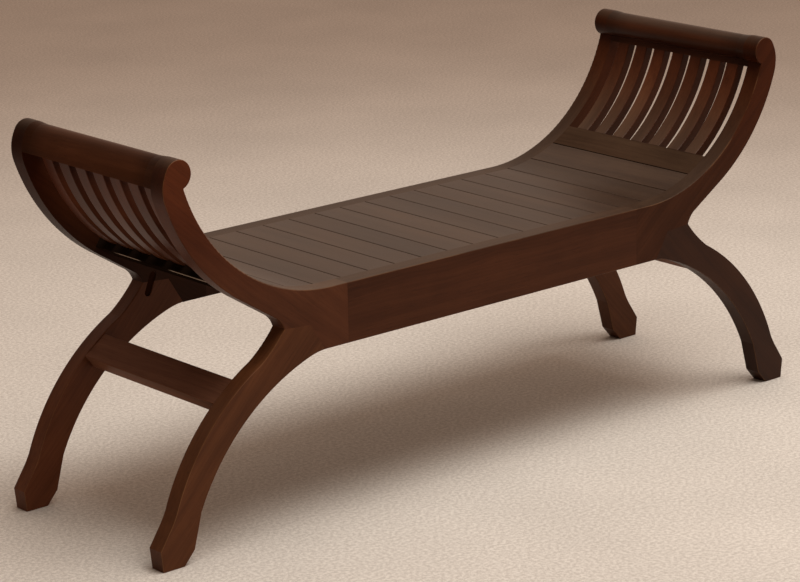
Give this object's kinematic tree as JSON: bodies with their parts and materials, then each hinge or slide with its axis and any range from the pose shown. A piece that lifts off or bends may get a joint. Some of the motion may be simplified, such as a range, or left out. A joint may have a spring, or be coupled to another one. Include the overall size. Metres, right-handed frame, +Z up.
{
  "type": "slatted bench",
  "caption": "Low backless hardwood bench with a slatted seat that sweeps up at both ends into scroll-topped slatted arms, on four outward-bowed legs.",
  "frame": {"origin": "on the floor under the middle of the bench", "axes": "+X along the bench towards the right-hand arm, +Y from the front side frame to the back one, +Z up"},
  "size_m": [1.508, 0.43, 0.6839],
  "materials": {
    "frame_wood": "satin dark red-brown stain and lacquer over straight-grained hardwood, rubbed through a little along the arrises",
    "leg_wood": "the same satin stain, a little more orange, with the grain running down each leg",
    "seat_board_wood": "the same stain worn to a greyer, duller satin on the seat boards",
    "end_slat_wood": "satin dark red-brown stain on the curved slats and the rail they stand in",
    "head_rail_wood": "satin dark red-brown stain on the rounded head rails",
    "bearer_wood": "thinly stained hardwood under the seat",
    "dowel_wood": "dark hardwood pegs and keys"
  },
  "bodies": {
    "root": {"back_left_arm": "frame_wood", "back_left_leg": "leg_wood", "back_right_arm": "frame_wood", "back_right_leg": "leg_wood", "back_seat_rail": "frame_wood", "centre_bearer": "bearer_wood", "front_left_arm": "frame_wood", "front_left_leg": "leg_wood", "front_right_arm": "frame_wood", "front_right_leg": "leg_wood", "front_seat_rail": "frame_wood", "left_bearer": "bearer_wood", "left_end_rail": "end_slat_wood", "left_end_slat_1": "end_slat_wood", "left_end_slat_2": "end_slat_wood", "left_end_slat_3": "end_slat_wood", "left_end_slat_4": "end_slat_wood", "left_end_slat_5": "end_slat_wood", "left_end_slat_6": "end_slat_wood", "left_end_slat_7": "end_slat_wood", "left_head_rail": "head_rail_wood", "left_stretcher": "leg_wood", "leg_dowels": "dowel_wood", "leg_keys": "dowel_wood", "rail_dowels": "dowel_wood", "right_bearer": "bearer_wood", "right_end_rail": "end_slat_wood", "right_end_slat_1": "end_slat_wood", "right_end_slat_2": "end_slat_wood", "right_end_slat_3": "end_slat_wood", "right_end_slat_4": "end_slat_wood", "right_end_slat_5": "end_slat_wood", "right_end_slat_6": "end_slat_wood", "right_end_slat_7": "end_slat_wood", "right_head_rail": "head_rail_wood", "right_stretcher": "leg_wood", "seat_board_01": "seat_board_wood", "seat_board_02": "seat_board_wood", "seat_board_03": "seat_board_wood", "seat_board_04": "seat_board_wood", "seat_board_05": "seat_board_wood", "seat_board_06": "seat_board_wood", "seat_board_07": "seat_board_wood", "seat_board_08": "seat_board_wood", "seat_board_09": "seat_board_wood", "seat_board_10": "seat_board_wood", "seat_board_11": "seat_board_wood", "seat_board_12": "seat_board_wood", "seat_board_13": "seat_board_wood", "seat_board_14": "seat_board_wood", "seat_board_15": "seat_board_wood", "seat_board_16": "seat_board_wood", "seat_board_17": "seat_board_wood"}
  },
  "joints": []
}
